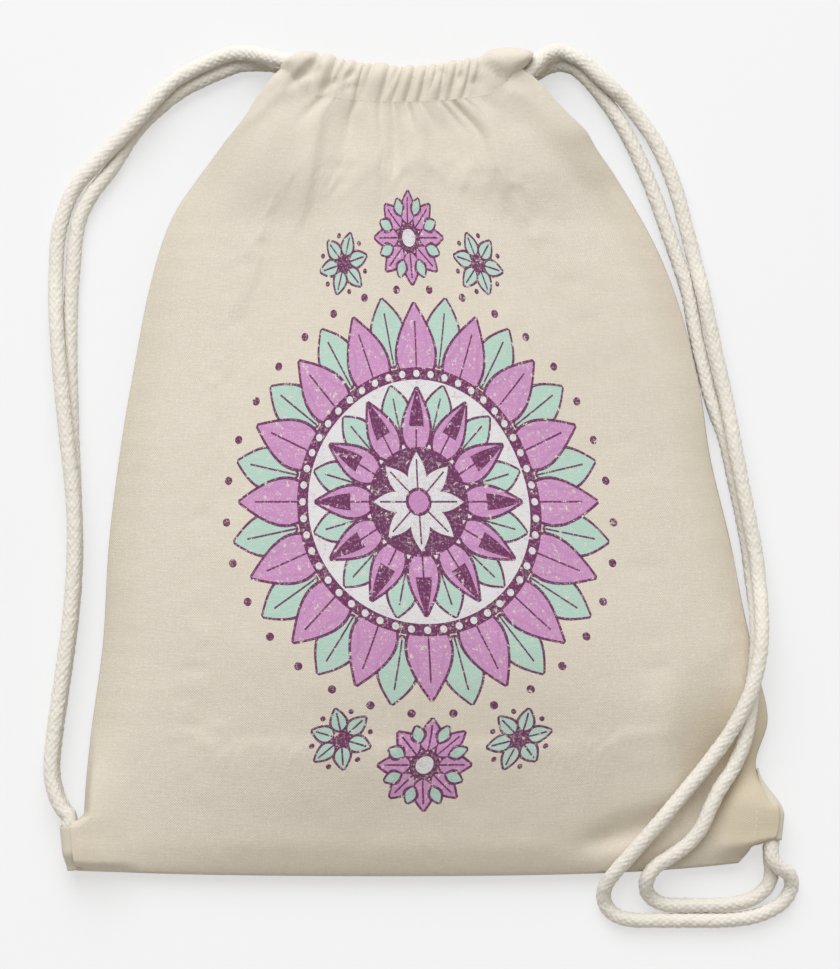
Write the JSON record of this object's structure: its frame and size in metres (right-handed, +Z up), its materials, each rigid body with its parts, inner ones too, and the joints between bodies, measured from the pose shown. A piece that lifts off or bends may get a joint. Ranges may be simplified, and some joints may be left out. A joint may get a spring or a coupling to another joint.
{
  "type": "drawstring backpack",
  "caption": "Natural cotton drawstring backpack lying on its back, its mouth gathered in a tunnel hem on braided cords that run down to tape loops at the bottom corners as straps.",
  "frame": {"origin": "on the floor, under the middle of the bag's bounding box without its free cords", "axes": "+Y from the bottom seam to the mouth, +X to the right as seen from the front, +Z up out of the front; the bag lies on its back"},
  "size_m": [0.3884, 0.4546, 0.0419],
  "materials": {
    "canvas": "unbleached plain-weave cotton, matt, softly crinkled",
    "tape": "woven cotton tape, matt",
    "cord": "braided cotton cord, matt, a shade paler than the canvas"
  },
  "bodies": {
    "bag_back": {"back_panel": "canvas", "back_casing": "canvas", "left_side_seam": "canvas", "right_side_seam": "canvas", "bottom_seam": "canvas", "left_corner_tab": "tape", "right_corner_tab": "tape", "left_cord_turn": "cord", "left_cord_front_lead": "cord", "left_cord_front_end": "cord", "left_cord_back_run": "cord", "left_cord_back_lead": "cord", "left_cord_back_end": "cord", "right_cord_turn": "cord", "right_cord_front_lead": "cord", "right_cord_front_end": "cord", "right_cord_back_run": "cord", "right_cord_back_lead": "cord", "right_cord_back_end": "cord"},
    "bag_front": {"front_panel": "canvas", "front_casing": "canvas", "left_cord_front_run": "cord", "right_cord_front_run": "cord", "right_cord_front_tail": "cord", "right_cord_back_tail": "cord"},
    "left_strap": {"left_cord_front_strap": "cord", "left_cord_back_strap": "cord"},
    "right_strap": {"right_cord_front_strap": "cord", "right_cord_back_strap": "cord"}
  },
  "joints": [
    {"name": "mouth_open", "type": "hinge", "parent": "bag_back", "child": "bag_front", "pos_m": [0, -0.2097, 0.007], "axis": [1, 0, 0], "range_deg": [0, 6.5]},
    {"name": "left_strap_swing", "type": "hinge", "parent": "bag_back", "child": "left_strap", "pos_m": [-0.1815, -0.1833, 0.018], "axis": [0.2193, 0.9756, -0.0084], "range_deg": [0, 70]},
    {"name": "right_strap_swing", "type": "hinge", "parent": "bag_back", "child": "right_strap", "pos_m": [0.0762, 0.2107, 0.0146], "axis": [0.3471, -0.9378, 0.0044], "range_deg": [0, 70]}
  ]
}
